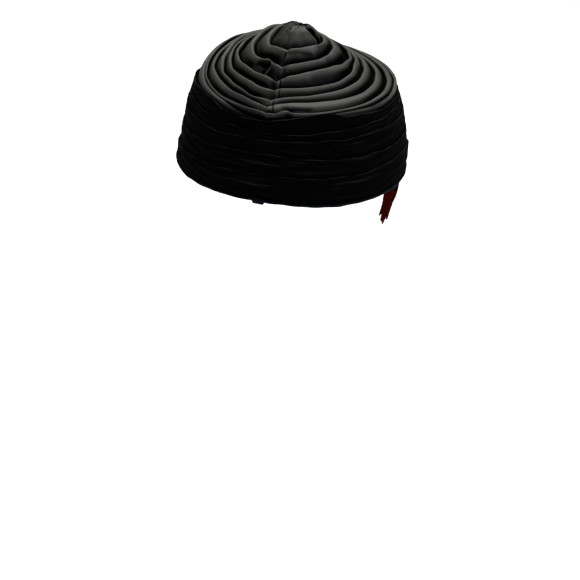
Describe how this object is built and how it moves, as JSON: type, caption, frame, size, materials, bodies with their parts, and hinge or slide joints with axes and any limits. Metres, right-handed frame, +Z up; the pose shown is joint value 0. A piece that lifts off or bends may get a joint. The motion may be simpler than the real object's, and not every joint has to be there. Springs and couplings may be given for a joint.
{
  "type": "cocktail hat",
  "caption": "Oval cocktail hat with a low crown of ringed black satin pleats, a wall of draped black velvet, a bound rim and a small dark red tassel that hangs below the rim at one side.",
  "frame": {"origin": "middle of the head opening, in the plane of the rim", "axes": "+Z up through the crown, +Y the way the wearer looks, +X to the wearer's right, where the tassel hangs; the crown's seam is at -Y"},
  "size_m": [0.1873, 0.202, 0.1765],
  "materials": {
    "black_satin": "satin",
    "black_velvet": "velvet",
    "edge_satin": "satin",
    "red_thread": "matte",
    "black_tape": "matte"
  },
  "bodies": {
    "root": {"satin_crown": "black_satin", "velvet_band": "black_velvet", "rim_binding": "edge_satin", "tassel": "red_thread", "tassel_strap": "black_tape"}
  },
  "joints": []
}
